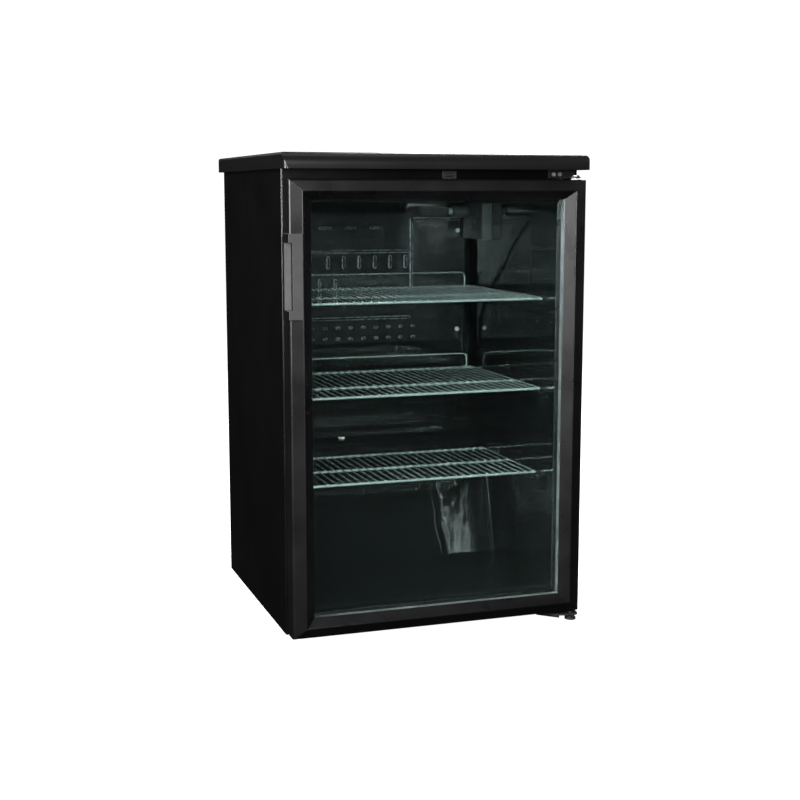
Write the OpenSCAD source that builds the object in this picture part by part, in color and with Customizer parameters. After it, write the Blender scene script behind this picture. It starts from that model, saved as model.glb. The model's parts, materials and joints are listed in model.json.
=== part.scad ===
// Under-counter glass door merchandiser: a black refrigerated cabinet with a
// framed glass door on the right-hand hinge, three wire shelves and a
// compressor niche at the back. Origin: centre of the footprint on the floor.
// +X is the right side seen from the front, -Y the front, +Z up. Millimetres.

/* [Overall size] */
// Width over the worktop
overall_w = 560; // [540:1:600]
// Depth from the door face to the wall spacers
overall_d = 600; // [590:1:640]
// Height from the floor to the worktop
overall_h = 850; // [840:1:900]

/* [Worktop] */
// Thickness of the worktop slab
top_t = 27.6; // [20:0.1:34]
// Radius of the rounded front edge
top_nose_r = 27; // [14:1:27]
// Radius of the corners seen from above
top_corner_r = 9; // [4:1:16]
// Distance from the door face back to the worktop's front edge
top_setback = 7; // [3:1:12]
// Distance from the wall plane to the worktop's back edge
top_wall_gap = 50; // [40:1:60]

/* [Cabinet] */
// Side overhang of the worktop past the cabinet sides
cab_inset = 5.5; // [3:0.5:8]
// Underside of the cabinet above the floor
cab_floor_z = 12.5; // [12:0.5:14]
// Distance from the door face to the cabinet front
door_depth = 52; // [50:1:56]
// Distance from the wall plane to the cabinet back
cab_wall_gap = 82; // [78:1:90]
// Thickness of the sheet metal
sheet_t = 1; // [0.8:0.1:1.2]
// Thickness of the plastic liner
liner_t = 1.5; // [1:0.1:2]
// Width of the front return of the side panels
return_w = 23.5; // [20:0.5:26]

/* [Inside] */
// Half of the inside width
room_half_w = 236; // [232:1:238]
// Height of the inside floor
room_floor_z = 52; // [50:1:56]
// Height of the inside ceiling
room_ceiling_z = 765; // [760:1:768]
// Inside face of the back wall
room_back_y = 180; // [176:1:182]
// Height of the front lip over the inside floor
lip_h = 7; // [4:1:9]

/* [Shelves] */
// Heights of the shelf wires, lowest shelf first
shelf_z = [263, 424, 592];
// Front edge of each shelf
shelf_front_y = [-180, -194, -197];
// Middle bar of each shelf
shelf_mid_y = [-57, -74, -66];
// Back edge of each shelf
shelf_back_y = [79, 146, 160];
// Spacing of the front-to-back wires
wire_pitch = 15.5; // [14:0.5:18]
// Radius of the front-to-back wires
wire_r = 1.25; // [1:0.05:1.5]
// Radius of the cross bars
bar_r = 2.5; // [2:0.1:3]
// Height of the rear fence above the shelf
fence_h = 27; // [20:1:40]

/* [Door] */
// Underside of the door
door_z0 = 15.6; // [15.5:0.1:17]
// Top of the door
door_z1 = 805.5; // [800:0.5:806]
// Clear inset of the door edge from the cabinet side
door_inset = 2; // [1:0.5:3]
// Width of the side frame bars
stile_w = 40.5; // [38:0.5:44]
// Width of the top and bottom frame bars
rail_w = 35; // [32:0.5:40]
// Thickness of each glass pane
pane_t = 4; // [3:0.5:4]
// Hinge axis, distance in from the door edge
hinge_inset = 12.5; // [11:0.5:14]
// Hinge axis, distance back from the door face
hinge_back = 28; // [26:1:30]

/* [Handle] */
// Lower end of the handle plate
handle_z0 = 571.5; // [540:0.5:590]
// Upper end of the handle plate
handle_z1 = 715.5; // [700:0.5:740]
// Wall above and below the finger recess
handle_end = 15.5; // [12:0.5:20]

/* [Hidden] */

$fn = 48;
eps = 0.01;
far = 2000;
// Elbows of brazed pipes are a little fatter than the pipe
elbow_swell = 1.06;

// Overall planes
front_y = -overall_d / 2;
wall_y = overall_d / 2;
top_half_w = overall_w / 2;
top_z0 = overall_h - top_t;
top_front_y = front_y + top_setback;
top_back_y = wall_y - top_wall_gap;

// Worktop: radius of its side edges, and the screws in its back edge
top_edge_r = 6;
worktop_screw_x = 210;
worktop_screw_r = 2;
worktop_screw_l = 20;

// Cabinet planes
cab_half_w = top_half_w - cab_inset;
cab_front_y = front_y + door_depth;
cab_back_y = wall_y - cab_wall_gap;
rail_half_w = cab_half_w - return_w;
flange_top_z = 803;
top_rail_t = 8;

// Hump over the compressor niche, as (y, z) corners on the room side
hump = [[25, room_floor_z], [72, 220], [150, 278], [room_back_y, 286]];
// Niche sheet, as (y, z) corners on the insulated side
niche = [[62, cab_floor_z], [100, 205], [150, 243], [cab_back_y, 250]];

// Shelf rails moulded in the side walls
rib_depth = 10;
rib_front_y = -205;
rib_h = 24;
rib_drop = 6;

// Light switch in the top rail, its rocker and the lip of its bezel
switch_x = 28;
switch_z = 813;
switch_w = 22;
switch_h = 11;
rocker_w = 17;
rocker_h = 7;
rocker_gap = 0.5;
bezel_lip = [2, 1.5, 1.2];

// Wire shelves and their rear fences
shelf_half_w = 232;
wires_per_side = 15;
bar_drop = 3;
wire_overhang = 2;
fence_half_w = 217;
fence_r = 1.6;
fence_bend = 10;

// Width that the frame bar's section is drawn at, and the depths of its steps
bar_ref_w = 40.5;
glass_in = 30;
trim_in = 18;
glass_d = 16;
trim_d = 36;
frame_d = 46;
trim_lip_t = 4;
gasket_lip_t = 2;

// Door planes
door_half_w = cab_half_w - door_inset;
glass_y = front_y + glass_d;
frame_back_y = front_y + frame_d;
gasket_gap = 0.3;
pane_gap = 12;
inner_glass_y = glass_y + pane_t + pane_gap;
hinge_x = door_half_w - hinge_inset;
hinge_y = front_y + hinge_back;
hinge_pin_r = 4;
top_pin_r = 3.5;
running_fit = 0.05;
bush_r = 7;
bush_len = 16;
bush_flange_r = 8.8;
bush_flange_t = 2;

// Handle
handle_out_x = -door_half_w - 3;
handle_in_x = -door_half_w + 22.5;
handle_front_y = front_y + 0.4;
handle_back_y = front_y + 36;
recess_front_y = front_y + 9;
recess_back_y = front_y + 34.5;

// Top hinge
top_plate_z = 808;
top_plate_t = 3;
top_pin_z0 = 792;
hinge_screw_x = [226, 238];
hinge_screw_z = 815;
hinge_screw_r = 1.6;

// Bottom hinge and feet
bracket_z0 = 9.5;
bracket_z1 = cab_floor_z;
bracket_screw_at = [[212, -225], [238, -205]];
bracket_screw_r = 2.5;
bottom_pin_z1 = 30;
boss_size = [40, 40, 4.5];
foot_r = 10.5;
foot_stem_r = hinge_pin_r - running_fit;
right_foot = [258, -286];
left_foot = [-245, -225];
rear_foot = [235, 190];

// Compressor niche contents
carrier_z = 20;
carrier_t = 3;
compressor_x = -40;
compressor_y = 192;
// Radius of the weld flange, and of the can above and below it
compressor_r = 70;
can_r = 64;
compressor_foot = [72, 62];
can_z0 = 38;
foot_plate_t = 2.5;
grommet_r = 10;
bolt_r = 3.5;
riser_x = 250;
gland_x = -180;
gland_z = 42;

// Suction line and its hole through the back wall
suction_x = 214;
suction_z = 352;
suction_r = 3.4;
suction_hole_r = 4.2;

// Drip gutter, and the tray over the compressor that its drain tube ends above
gutter_t = 2.5;
gutter_half_w = 225;
gutter_z = 287;
gutter_end_r = 45;
gutter_lip_h = 12;
gutter_front_y = room_back_y - 28;
tray_x = [-125, 45];
tray_y = [140, 225];
tray_z0 = 168;
tray_wall = 2;
tray_h = 28;
drain_x = -50;
drain_y = 168;
drain_r = 6.5;
drain_bore_r = 4.5;
drain_hole_r = 9;
drain_end_z = tray_z0 + tray_h + 1;

// Filter drier
drier_x = 228;
drier_z0 = 150;
drier_h = 70;
drier_r = 9;
drier_cone_h = 12;

// Condenser on the back
coil_y = 240;
coil_r = 2.4;
coil_half_w = 215;
coil_z0 = 285;
coil_pitch = 44;
coil_rows = 12;
coil_wire_r = 0.8;
coil_wire_pitch = 17;

// Evaporator on the back wall
evap_y = room_back_y - 8;
evap_t = 1.6;
evap_half_w = 222;
evap_z0 = 478;
evap_z1 = 742;
evap_corner_r = 8;
boss_h = 2.2;
evap_tube_y = evap_y - 5.4;
evap_tube_r = 2.8;
evap_screw_at = [[-205, 728], [205, 705], [-205, 500], [205, 500]];
evap_screw_r = 2.2;
evap_bush_r = 6;

// Cover on the right wall with the thermostat and the lamp
housing_x0 = 214;
housing_y = [60, 162];
housing_z = [690, 762];
housing_t = 2;
knob_y = 105;
knob_z = 719;
knob_r = 15;
spindle_r = 3.4;
lamp_y = 145;
lamp_z = 745;
lamp_r = 10;
lamp_cap_r = 7;
lamp_cap_h = 8;
lamp_tube_h = 55;
socket_h = 32;

black = [0.04, 0.04, 0.045];
dark = [0.12, 0.12, 0.13];
steel = [0.75, 0.77, 0.78];

// Points on an arc, from angle a0 to a1
function arc(cx, cy, r, a0, a1, n = 5) =
    [for (i = [0:n]) [cx + r * cos(a0 + (a1 - a0) * i / n), cy + r * sin(a0 + (a1 - a0) * i / n)]];

function reversed(p) = [for (i = [len(p) - 1:-1:0]) p[i]];

function shifted(p, d) = [for (q = p) q + d];

// Extrudes a (y, z) outline along X, centred
module along_x(length) {
    rotate([90, 0, 90])
        linear_extrude(length, center = true)
            children();
}

// Extrudes an (x, z) outline along Y, from y0 to y1
module along_y(y0, y1) {
    translate([0, y1, 0])
        rotate([90, 0, 0])
            linear_extrude(y1 - y0)
                children();
}

// Box given by its low and high corners
module block(a, b) {
    translate(a)
        cube(b - a);
}

// Rectangle with round corners, from low to high corner
module round_rect(a, b, r) {
    translate(a + [r, 0])
        square([b[0] - a[0] - 2 * r, b[1] - a[1]]);
    translate(a + [0, r])
        square([b[0] - a[0], b[1] - a[1] - 2 * r]);
    for (x = [a[0] + r, b[0] - r], y = [a[1] + r, b[1] - r])
        translate([x, y])
            circle(r);
}

// Cylinder between two points
module rod(a, b, r) {
    d = b - a;
    translate(a)
        rotate([0, acos(d[2] / norm(d)), atan2(d[1], d[0])])
            cylinder(h = norm(d), r = r);
}

// Pipe along a list of points, with round elbows
module pipe(points, r) {
    for (i = [0:len(points) - 2])
        rod(points[i], points[i + 1], r);
    for (i = [1:len(points) - 2])
        translate(points[i])
            sphere(r * elbow_swell);
}

module mirrored_x() {
    children();
    mirror([1, 0, 0])
        children();
}

// ---------------------------------------------------------------- cabinet

module side_panel() {
    block([cab_half_w - sheet_t, cab_front_y, cab_floor_z], [cab_half_w, cab_back_y, top_z0]);
    block([rail_half_w, cab_front_y, cab_floor_z], [cab_half_w, cab_front_y + sheet_t, top_z0]);
}

module left_side_panel() {
    color(black)
        mirror([1, 0, 0])
            side_panel();
}

module right_side_panel() {
    color(black)
        side_panel();
}

module rear_panel() {
    color("gainsboro")
        difference() {
            block([-cab_half_w + sheet_t, cab_back_y - sheet_t, niche[3][1] + sheet_t],
                  [cab_half_w - sheet_t, cab_back_y, top_z0]);
            suction_hole();
        }
}

// Bottom sheet with the boss that the left front foot screws into
module base_panel() {
    color(dark)
        difference() {
            union() {
                block([-cab_half_w + sheet_t, cab_front_y + sheet_t, cab_floor_z],
                      [cab_half_w - sheet_t, niche[0][0] - sheet_t, cab_floor_z + sheet_t]);
                translate([left_foot[0] - boss_size[0] / 2, left_foot[1] - boss_size[1] / 2,
                           cab_floor_z - boss_size[2]])
                    cube(boss_size + [0, 0, eps]);
            }
            translate([left_foot[0], left_foot[1], 0])
                cylinder(h = cab_floor_z, r = hinge_pin_r);
        }
}

module niche_panel() {
    color("gainsboro")
        difference() {
            along_x(2 * (cab_half_w - sheet_t))
                polygon(concat(niche, reversed(shifted(niche, [-sheet_t, sheet_t]))));
            drain_hole();
        }
}

// Clearance for the drain tube through the hump
module drain_hole() {
    translate([drain_x, drain_y, 0])
        cylinder(h = gutter_z, r = drain_hole_r);
}

// Clearance for the suction line through the back wall
module suction_hole() {
    translate([suction_x, room_back_y - 5, suction_z])
        rotate([-90, 0, 0])
            cylinder(h = cab_back_y - room_back_y + 10, r = suction_hole_r);
}

// Space inside the liner. A grow above zero gives the liner's outer face
module room(grow) {
    half_w = room_half_w + grow;
    difference() {
        along_x(2 * half_w)
            polygon([
                [cab_front_y - 20, room_floor_z + lip_h - grow],
                [cab_front_y + 10, room_floor_z + lip_h - grow],
                [cab_front_y + 18, room_floor_z - grow],
                [hump[0][0] + grow, hump[0][1] - grow],
                hump[1] + [grow, -grow / 2],
                hump[2] + [grow / 2, -grow],
                hump[3] + [grow, -grow],
                [room_back_y + grow, room_ceiling_z + grow],
                [cab_front_y - 20, room_ceiling_z + grow]
            ]);
        mirrored_x()
            for (z = shelf_z)
                block([half_w - rib_depth, rib_front_y + grow, z - rib_drop - rib_h + grow],
                      [half_w + 1, far, z - rib_drop - grow]);
    }
}

// Polyurethane foam that fills the walls, floor, ceiling and hump
module foam_insulation() {
    color("khaki")
        difference() {
            block([-cab_half_w + sheet_t, cab_front_y + liner_t, cab_floor_z + sheet_t],
                  [cab_half_w - sheet_t, cab_back_y - sheet_t, top_z0]);
            room(liner_t);
            along_x(overall_w)
                polygon(concat(shifted(niche, [-sheet_t, sheet_t]), [[far, 300], [far, 0]]));
            block([-overall_w, cab_front_y - 1, flange_top_z], [overall_w, cab_front_y + top_rail_t, far]);
            drain_hole();
            suction_hole();
        }
}

// Vacuum-formed black liner with its front flange
module inner_liner() {
    color(dark)
        difference() {
            union() {
                intersection() {
                    room(liner_t);
                    block([-far, cab_front_y, 0], [far, far, far]);
                }
                block([-rail_half_w, cab_front_y, cab_floor_z + sheet_t],
                      [rail_half_w, cab_front_y + liner_t, flange_top_z]);
            }
            room(0);
            drain_hole();
            suction_hole();
        }
}

module front_top_rail() {
    color(black)
        difference() {
            block([-rail_half_w, cab_front_y, flange_top_z], [rail_half_w, cab_front_y + top_rail_t, top_z0]);
            block([switch_x - switch_w / 2, -far, switch_z - switch_h / 2],
                  [switch_x + switch_w / 2, far, switch_z + switch_h / 2]);
            for (x = hinge_screw_x)
                translate([x, cab_front_y - 1, hinge_screw_z])
                    rotate([-90, 0, 0])
                        cylinder(h = top_rail_t + 2, r = hinge_screw_r);
        }
}

module worktop() {
    color(black)
        difference() {
            intersection() {
                along_x(overall_w)
                    union() {
                        translate([top_front_y, top_z0])
                            square([top_back_y - top_front_y, top_t - top_nose_r + eps]);
                        translate([top_front_y + top_nose_r, top_z0])
                            square([top_back_y - top_front_y - top_nose_r, top_t]);
                        translate([top_front_y + top_nose_r, overall_h - top_nose_r])
                            intersection() {
                                circle(top_nose_r, $fn = 96);
                                translate([-top_nose_r, 0])
                                    square(top_nose_r);
                            }
                    }
                linear_extrude(far)
                    round_rect([-top_half_w, top_front_y], [top_half_w, top_back_y], top_corner_r);
                along_y(-far, far)
                    union() {
                        translate([-top_half_w, 0])
                            square([overall_w, overall_h - top_edge_r]);
                        round_rect([-top_half_w, top_z0 - 20], [top_half_w, overall_h], top_edge_r);
                    }
            }
            mirrored_x()
                translate([worktop_screw_x, top_back_y + 1, top_z0 + top_t / 2])
                    rotate([90, 0, 0])
                        cylinder(h = worktop_screw_l + 1, r = worktop_screw_r);
        }
}

// Screws in the back edge of the worktop
module worktop_screws() {
    color(steel)
        mirrored_x()
            translate([worktop_screw_x, top_back_y, top_z0 + top_t / 2]) {
                rotate([90, 0, 0])
                    cylinder(h = worktop_screw_l, r = worktop_screw_r);
                rotate([-90, 0, 0])
                    pan_head(4.5, 2.6);
            }
}

// Screw head with a cross recess, standing on z = 0
module pan_head(r, h) {
    difference() {
        cylinder(h = h, r = r);
        for (a = [0, 90])
            rotate([0, 0, a])
                translate([-r * 0.6, -r * 0.12, h * 0.5])
                    cube([r * 1.2, r * 0.24, h]);
    }
}

// ---------------------------------------------------------------- light switch

// Frame clipped into the top rail
module switch_bezel() {
    color(dark)
        difference() {
            union() {
                block([switch_x - switch_w / 2, cab_front_y, switch_z - switch_h / 2],
                      [switch_x + switch_w / 2, cab_front_y + top_rail_t, switch_z + switch_h / 2]);
                block([switch_x - switch_w / 2, cab_front_y, switch_z - switch_h / 2] - bezel_lip,
                      [switch_x + switch_w / 2 + bezel_lip[0], cab_front_y, switch_z + switch_h / 2 + bezel_lip[2]]);
            }
            block([switch_x - rocker_w / 2 - rocker_gap, -far, switch_z - rocker_h / 2 - rocker_gap],
                  [switch_x + rocker_w / 2 + rocker_gap, cab_front_y + top_rail_t - 1,
                   switch_z + rocker_h / 2 + rocker_gap]);
        }
}

// Rocker that turns about its own X axis
module light_switch() {
    color("white")
        along_x_at(switch_x, rocker_w)
            translate([cab_front_y, switch_z])
                polygon([[-3.2, -rocker_h / 2 + 0.6], [-1.8, 0], [-2.4, rocker_h / 2 - 0.6],
                         [3, rocker_h / 2 - 1.2], [3, -rocker_h / 2 + 1.2]]);
}

module along_x_at(x, length) {
    translate([x, 0, 0])
        along_x(length)
            children();
}

// ---------------------------------------------------------------- cooling, inside

// Raised channel on the evaporator's face, from p to q in (x, z)
module channel(p, q, r) {
    d = q - p;
    translate([p[0], evap_y, p[1]])
        rotate([90, 0, 0])
            union() {
                cylinder(h = boss_h, r = r, $fn = 24);
                translate([d[0], d[1], 0])
                    cylinder(h = boss_h, r = r, $fn = 24);
                rotate([0, 0, atan2(d[1], d[0])])
                    translate([0, -r, 0])
                        cube([norm(d), 2 * r, boss_h]);
            }
}

// Roll-bonded plate with its embossed refrigerant channels
module evaporator_plate() {
    color("dimgray")
        difference() {
            union() {
                along_y(evap_y - eps, evap_y + evap_t)
                    round_rect([-evap_half_w, evap_z0], [evap_half_w, evap_z1], evap_corner_r);
                for (i = [0:2])
                    channel([-92 + 54 * i, 712], [-70 + 54 * i, 712], 3);
                for (i = [0:5])
                    channel([-75 + 33 * i, 633], [-75 + 33 * i, 652], 4);
                for (z = [664, 528])
                    channel([-150, z], [98, z], 3.5);
                for (i = [0:11])
                    for (z = [487, 509])
                        channel([-192 + 27 * i, z], [-188 + 27 * i, z], 3);
                for (i = [0:4])
                    channel([-192 + 33 * i, 560], [-192 + 33 * i, 606], 3.5);
                channel([103, 593], [103, 729], 3.5);
                channel([103, 729], [208, 729], 3.5);
            }
            for (p = evap_screw_at)
                translate([p[0], evap_y - 5, p[1]])
                    rotate([-90, 0, 0])
                        cylinder(h = 10, r = evap_screw_r);
        }
}

// Screws and stand-off bushes that hold the evaporator off the wall
module evaporator_screws() {
    color(steel)
        for (p = evap_screw_at)
            translate([p[0], evap_y, p[1]])
                rotate([-90, 0, 0]) {
                    translate([0, 0, evap_t])
                        cylinder(h = room_back_y - evap_y - evap_t, r = evap_bush_r);
                    cylinder(h = 3, r = evap_screw_r);
                    rotate([180, 0, 0])
                        pan_head(4.5, 2.4);
                }
}

// Suction tube from the evaporator's outlet down to the back wall
module evaporator_tube() {
    color("peru")
        pipe([[100, evap_tube_y, 736], [183, evap_tube_y, 594], [suction_x, evap_tube_y, 520],
              [suction_x, evap_tube_y, suction_z], [suction_x, room_back_y, suction_z]],
             evap_tube_r);
}

// Drip gutter under the evaporator, resting against the back wall
module drip_gutter() {
    color(dark)
        difference() {
            union() {
                along_y(gutter_front_y, room_back_y)
                    gutter_strip(gutter_t);
                along_y(gutter_front_y, gutter_front_y + gutter_t)
                    gutter_strip(gutter_lip_h);
            }
            translate([drain_x, drain_y, 0])
                cylinder(h = far, r = drain_r + 0.5);
        }
}

// Band of height h that follows the gutter's floor and its two rounded ends
module gutter_strip(h) {
    x = gutter_half_w - gutter_end_r;
    translate([-x, gutter_z])
        square([2 * x, h]);
    for (s = [-1, 1])
        translate([s * x, gutter_z + gutter_end_r])
            intersection() {
                difference() {
                    circle(gutter_end_r, $fn = 96);
                    circle(gutter_end_r - h, $fn = 96);
                }
                translate([s > 0 ? 0 : -gutter_end_r, -gutter_end_r])
                    square(gutter_end_r);
            }
}

module drain_tube() {
    color("white")
        translate([drain_x, drain_y, drain_end_z])
            difference() {
                cylinder(h = gutter_z - drain_end_z, r = drain_r);
                translate([0, 0, -1])
                    cylinder(h = far, r = drain_bore_r);
            }
}

// ---------------------------------------------------------------- lamp and thermostat

// Hollow cover on the right wall, open towards the wall
module control_housing() {
    color(dark)
        difference() {
            block([housing_x0, housing_y[0], housing_z[0]], [room_half_w, housing_y[1], housing_z[1]]);
            block([housing_x0 + housing_t, housing_y[0] + housing_t, housing_z[0] + housing_t],
                  [far, housing_y[1] - housing_t, housing_z[1] - housing_t]);
            translate([0, knob_y, knob_z])
                rotate([0, 90, 0])
                    cylinder(h = far, r = spindle_r + 0.1);
        }
}

module thermostat_body() {
    color(steel)
        block([housing_x0 + 5, knob_y - 18, knob_z - 14], [room_half_w - 1, knob_y + 18, knob_z + 14]);
}

// Knob with a pointer rib and its spindle
module thermostat_knob() {
    color("white")
        translate([housing_x0 - 0.4, knob_y, knob_z])
            rotate([0, -90, 0]) {
                difference() {
                    cylinder(h = 9, r = knob_r);
                    for (a = [0:30:330])
                        rotate([0, 0, a])
                            translate([knob_r + 1.2, 0, 2])
                                cylinder(h = 20, r = 2.2);
                }
                translate([-1.5, 0, 8])
                    cube([3, knob_r - 1, 3]);
                translate([0, 0, -4])
                    cylinder(h = 5, r = spindle_r);
            }
}

module lamp_socket() {
    color("white")
        translate([housing_x0, lamp_y, lamp_z])
            rotate([0, -90, 0]) {
                cylinder(h = socket_h - 6, r = 13);
                cylinder(h = socket_h, r = 11);
            }
}

// Tubular refrigerator bulb
module lamp_bulb() {
    color("white", 0.6)
        translate([housing_x0 - socket_h, lamp_y, lamp_z])
            rotate([0, -90, 0]) {
                cylinder(h = lamp_cap_h, r = lamp_cap_r);
                translate([0, 0, lamp_cap_h])
                    cylinder(h = lamp_tube_h, r = lamp_r);
                translate([0, 0, lamp_cap_h + lamp_tube_h])
                    sphere(lamp_r);
            }
}

// ---------------------------------------------------------------- shelves

// Wire shelf: round cross bars under a row of front-to-back wires
module shelf(i) {
    color(steel) {
        for (y = [shelf_front_y[i], shelf_mid_y[i], shelf_back_y[i]])
            rod([-shelf_half_w, y, shelf_z[i] - bar_drop], [shelf_half_w, y, shelf_z[i] - bar_drop], bar_r);
        mirrored_x()
            for (k = [0:wires_per_side - 1])
                rod([wire_pitch * (k + 0.5), shelf_front_y[i] - wire_overhang, shelf_z[i]],
                    [wire_pitch * (k + 0.5), shelf_back_y[i] + wire_overhang, shelf_z[i]], wire_r, $fn = 24);
    }
}

module lower_shelf() {
    shelf(0);
}

module middle_shelf() {
    shelf(1);
}

module upper_shelf() {
    shelf(2);
}

// Fence along the back bar of a shelf that stops goods touching the evaporator
module shelf_fence(i) {
    z0 = shelf_z[i] - bar_drop + bar_r;
    z1 = shelf_z[i] + fence_h;
    translate([0, shelf_back_y[i], 0])
        color(steel) {
            rod([-fence_half_w + fence_bend, 0, z1], [fence_half_w - fence_bend, 0, z1], fence_r);
            mirrored_x() {
                rod([fence_half_w, 0, z0], [fence_half_w, 0, z1 - fence_bend], fence_r);
                translate([fence_half_w - fence_bend, 0, z1 - fence_bend])
                    rotate([90, 0, 0])
                        rotate_extrude(angle = 90)
                            translate([fence_bend, 0])
                                circle(fence_r);
            }
        }
}

module middle_shelf_fence() {
    shelf_fence(1);
}

module upper_shelf_fence() {
    shelf_fence(2);
}

// ---------------------------------------------------------------- compressor niche

// Plate that carries the compressor, between the side panels
module compressor_base() {
    color("silver")
        difference() {
            union() {
                block([-cab_half_w + sheet_t, niche[0][0] + 12, carrier_z],
                      [cab_half_w - sheet_t, cab_back_y, carrier_z + carrier_t]);
                block([compressor_x - 105, cab_back_y - eps, carrier_z],
                      [compressor_x + 105, cab_back_y + 55, carrier_z + carrier_t]);
                mirrored_x()
                    block([cab_half_w - sheet_t - 2, niche[0][0] + 12, carrier_z],
                          [cab_half_w - sheet_t, cab_back_y, carrier_z + 24]);
            }
            compressor_feet()
                cylinder(h = far, r = bolt_r + 0.5, center = true);
        }
}

module compressor_feet() {
    for (x = [-1, 1], y = [-1, 1])
        translate([compressor_x + x * compressor_foot[0], compressor_y + y * compressor_foot[1], 0])
            children();
}

// Welded can with its mounting plate
module compressor() {
    color("black") {
        translate([compressor_x, compressor_y, can_z0])
            rotate_extrude($fn = 96)
                polygon(concat([[0, 0]], [[40, 0]], arc(can_r - 24, 24, 24, -90, 0, 6), [[can_r, 60]],
                               [[compressor_r, 60], [compressor_r, 68], [can_r, 68]],
                               arc(can_r - 40, 90, 40, 0, 90, 8), [[0, 130]]));
        difference() {
            translate([compressor_x - 84, compressor_y - 74, can_z0 - 2])
                cube([168, 148, foot_plate_t]);
            compressor_feet()
                cylinder(h = far, r = bolt_r + 1);
        }
    }
}

module compressor_grommets() {
    color("dimgray")
        compressor_feet()
            difference() {
                translate([0, 0, carrier_z + carrier_t])
                    cylinder(h = can_z0 - 2 - carrier_z - carrier_t, r = grommet_r);
                cylinder(h = far, r = bolt_r + 0.5);
            }
}

module compressor_bolts() {
    color(steel)
        compressor_feet() {
            translate([0, 0, carrier_z - 2])
                cylinder(h = can_z0 + 4 - carrier_z, r = bolt_r);
            translate([0, 0, can_z0 - 2 + foot_plate_t])
                cylinder(h = 5, r = 7, $fn = 6);
            translate([0, 0, carrier_z - 4])
                cylinder(h = 4, r = 6.5);
        }
}

// Starting relay and overload cover on the can's left side
module start_relay_box() {
    color(dark)
        difference() {
            block([compressor_x - 94, compressor_y - 28, 56], [compressor_x - 60, compressor_y + 28, 132]);
            translate([compressor_x, compressor_y, 0])
                cylinder(h = far, r = compressor_r + 0.5);
        }
}

// Tray on the warm compressor that dries off the defrost water
module evaporation_tray() {
    color("dimgray")
        difference() {
            block([tray_x[0], tray_y[0], tray_z0], [tray_x[1], tray_y[1], tray_z0 + tray_h]);
            block([tray_x[0] + tray_wall, tray_y[0] + tray_wall, tray_z0 + tray_wall],
                  [tray_x[1] - tray_wall, tray_y[1] - tray_wall, far]);
        }
}

// Copper filter drier with the tube up to the condenser's outlet
module filter_drier() {
    color("peru")
        translate([drier_x, coil_y, 0]) {
            translate([0, 0, drier_z0])
                cylinder(h = drier_h, r = drier_r);
            translate([0, 0, drier_z0 + drier_h])
                cylinder(h = drier_cone_h, r1 = drier_r, r2 = coil_r + 0.4);
            translate([0, 0, drier_z0 - drier_cone_h])
                cylinder(h = drier_cone_h, r1 = 1.5, r2 = drier_r);
            pipe([[0, 0, drier_z0 + drier_h + 4], [0, 0, coil_z0], [coil_half_w - drier_x, 0, coil_z0]], coil_r);
        }
}

// Hot gas line from the compressor to the condenser's top run
module discharge_line() {
    color("peru")
        pipe([[compressor_x + can_r, compressor_y, 78], [compressor_x + 90, compressor_y, 78],
              [compressor_x + 115, compressor_y + 60, 88], [riser_x - 8, 262, 110], [riser_x, coil_y, 150],
              [riser_x, coil_y, coil_z(coil_rows - 1)], [coil_half_w, coil_y, coil_z(coil_rows - 1)]],
             coil_r);
}

// Return line from the back wall to the compressor
module suction_line() {
    color("peru")
        pipe([[compressor_x + can_r * cos(45), compressor_y - can_r * sin(45), 84],
              [compressor_x + 66, compressor_y - 66, 92], [120, 150, 150],
              [suction_x, cab_back_y + 8, 220], [suction_x, cab_back_y + 8, suction_z],
              [suction_x, room_back_y, suction_z]], suction_r);
}

// ---------------------------------------------------------------- condenser

function coil_z(i) = coil_z0 + coil_pitch * i;

// Serpentine tube, one run per row
module condenser_tube() {
    color("black") {
        for (i = [0:coil_rows - 1])
            rod([-coil_half_w + coil_pitch / 2, coil_y, coil_z(i)],
                [coil_half_w - (i == 0 || i == coil_rows - 1 ? 0 : coil_pitch / 2), coil_y, coil_z(i)],
                coil_r, $fn = 24);
        for (i = [0:coil_rows - 2])
            translate([(i % 2 == 0 ? -1 : 1) * (coil_half_w - coil_pitch / 2), coil_y,
                       coil_z(i) + coil_pitch / 2])
                rotate([90, i % 2 == 0 ? -90 : 90, 0])
                    rotate_extrude(angle = 180)
                        translate([coil_pitch / 2, 0])
                            circle(coil_r, $fn = 24);
    }
}

// Wires welded across both faces of the serpentine
module condenser_wires() {
    color("black")
        for (s = [-1, 1])
            for (k = [-10:10])
                rod([k * coil_wire_pitch, coil_y + s * (coil_r + coil_wire_r), coil_z0 - 14],
                    [k * coil_wire_pitch, coil_y + s * (coil_r + coil_wire_r), coil_z(coil_rows - 1) + 14],
                    coil_wire_r, $fn = 16);
}

// Clips that hold the condenser off the rear panel
module condenser_brackets() {
    color(dark)
        mirrored_x()
            for (z = [coil_z(1), coil_z(coil_rows - 2)])
                difference() {
                    block([coil_half_w - 42, cab_back_y, z - 9], [coil_half_w - 26, coil_y + 6, z + 9]);
                    rod([-far, coil_y, z], [far, coil_y, z], coil_r);
                }
}

// Spacers that keep the cabinet off the wall behind it
module wall_spacers() {
    color(dark)
        mirrored_x()
            block([cab_half_w - 44, cab_back_y, 330], [cab_half_w - 34, wall_y, 352]);
}

// Bush where the supply lead enters the niche
module cord_gland() {
    color(dark)
        difference() {
            union() {
                block([gland_x - 12, cab_back_y - 14, carrier_z + carrier_t], [gland_x + 12, cab_back_y, 56]);
                translate([gland_x, cab_back_y, gland_z])
                    rotate([-90, 0, 0])
                        cylinder(h = 10, r = 8);
            }
            translate([gland_x, cab_back_y - 20, gland_z])
                rotate([-90, 0, 0])
                    cylinder(h = 40, r = 4);
        }
}

// ---------------------------------------------------------------- hinges and feet

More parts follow.
